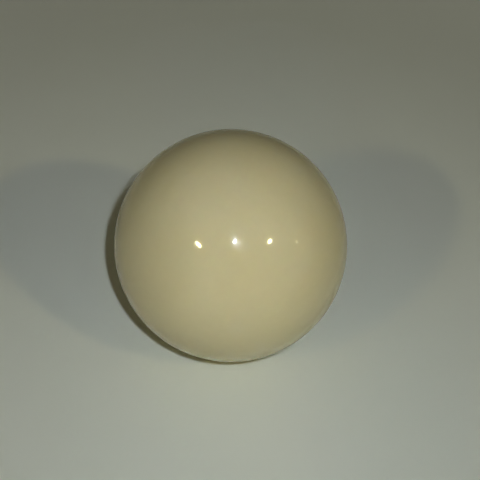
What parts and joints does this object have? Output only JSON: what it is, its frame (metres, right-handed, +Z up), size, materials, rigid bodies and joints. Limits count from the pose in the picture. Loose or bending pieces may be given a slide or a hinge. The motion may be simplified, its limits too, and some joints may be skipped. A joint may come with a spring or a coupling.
{
  "type": "cue ball",
  "caption": "Plain cream cue ball: a solid cast resin ball, polished all over, struck by the cue tip to drive the object balls.",
  "frame": {"origin": "centre of the ball", "axes": "+Z up, away from the table the ball rests on; any direction through the centre is an axis of symmetry, so X and Y are free"},
  "size_m": [0.0572, 0.0572, 0.0572],
  "materials": {
    "cream_resin": "polished cast phenolic resin, aged cream, with faint handling haze and hairline scratches"
  },
  "bodies": {
    "root": {"cue_ball": "cream_resin"}
  },
  "joints": []
}
